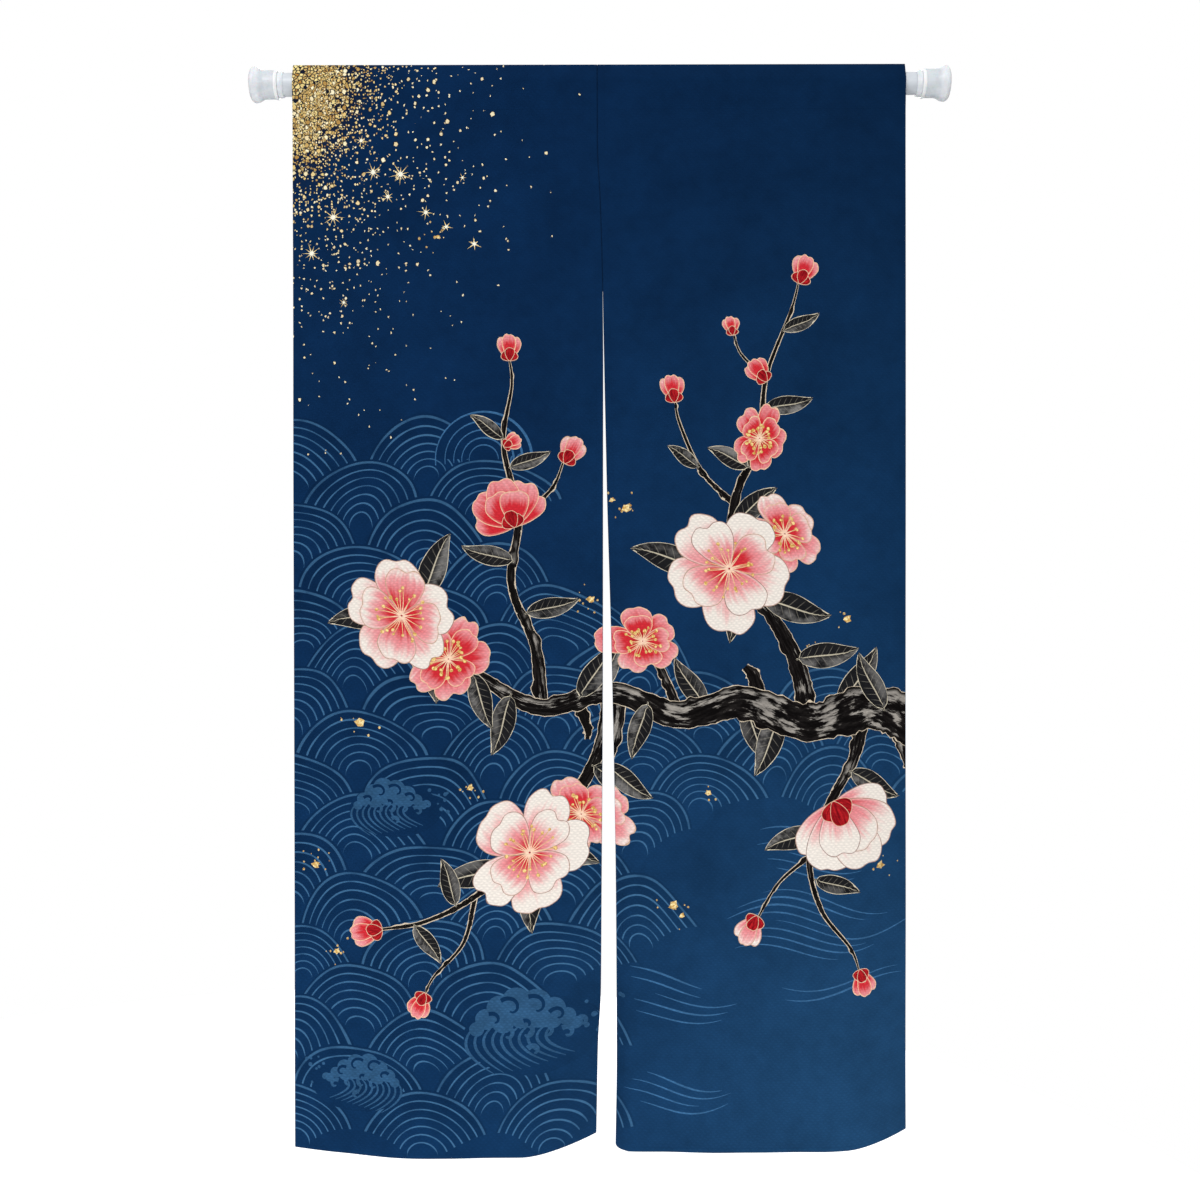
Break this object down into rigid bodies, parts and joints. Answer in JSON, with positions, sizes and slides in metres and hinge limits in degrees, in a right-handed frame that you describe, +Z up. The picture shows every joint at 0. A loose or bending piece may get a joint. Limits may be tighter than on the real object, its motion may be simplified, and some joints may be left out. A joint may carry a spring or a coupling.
{
  "type": "noren curtain on tension rod",
  "caption": "Split door curtain: two printed cloth panels sewn together at the top, hanging by their rod pocket on a white tension rod with flared end feet.",
  "frame": {"origin": "middle of the left end foot's flat face, on the rod's axis", "axes": "+X along the rod from the left foot to the right one, +Y away from whoever faces the printed side, +Z up"},
  "size_m": [0.9725, 0.0688, 1.5138],
  "materials": {
    "cloth": "matte plain weave polyester with a linen look, printed in indigo",
    "tube": "smooth white coating",
    "foot": "white, slightly cloudy soft plastic"
  },
  "bodies": {
    "root": {"panel_left": "cloth", "panel_right": "cloth", "tube_outer": "tube", "tube_inner": "tube", "foot_left": "foot", "foot_right": "foot", "bush_left": "foot", "bush_right": "foot"}
  },
  "joints": []
}
